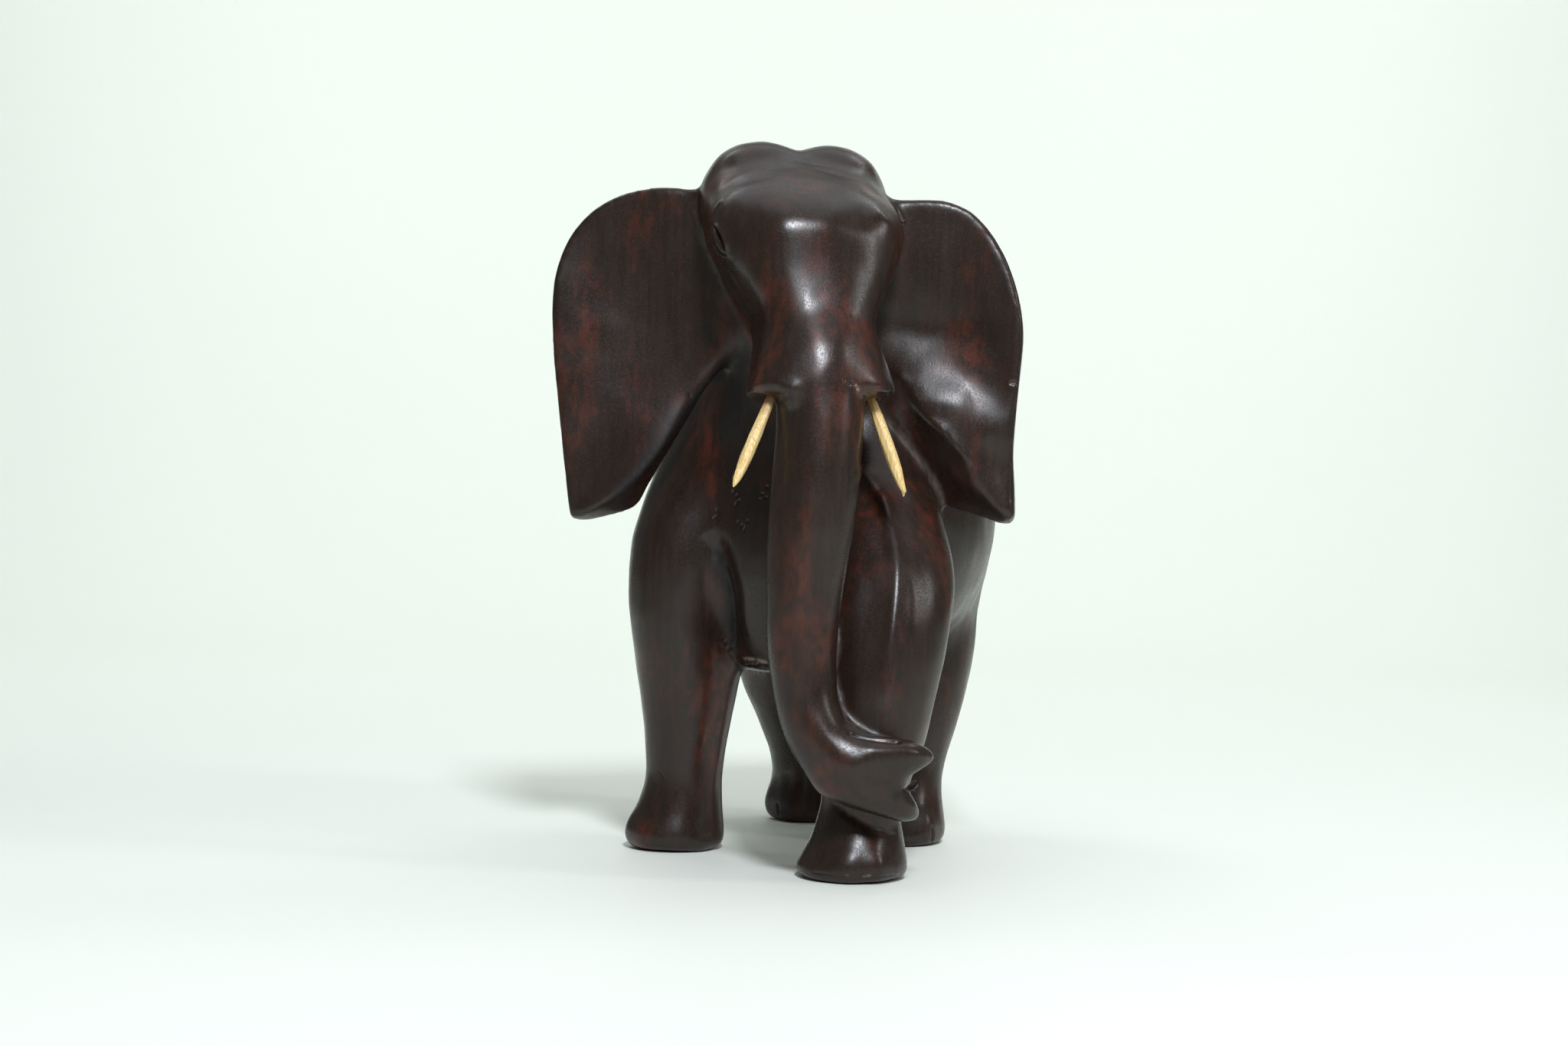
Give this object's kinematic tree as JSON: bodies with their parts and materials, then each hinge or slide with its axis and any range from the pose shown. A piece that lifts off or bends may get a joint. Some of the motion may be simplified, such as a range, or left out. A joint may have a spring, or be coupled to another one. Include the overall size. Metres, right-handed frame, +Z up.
{
  "type": "wooden elephant sculpture",
  "caption": "Standing elephant carved in dark hardwood, head turned, ears spread, trunk curled round a forefoot, with pale pegged tusks.",
  "frame": {"origin": "on the ground, at the middle of the elephant's box seen from above", "axes": "+Z up, the elephant's body faces -Y and its left side is at +X"},
  "size_m": [0.2608, 0.3424, 0.4029],
  "materials": {
    "dark_hardwood": "stained near-black brown with reddish patches, waxed to a satin sheen",
    "pale_wood": "whittled, pale yellow, matt, stained brown at the root"
  },
  "bodies": {
    "root": {"elephant": "dark_hardwood", "tusk_left": "pale_wood", "tusk_right": "pale_wood"}
  },
  "joints": []
}
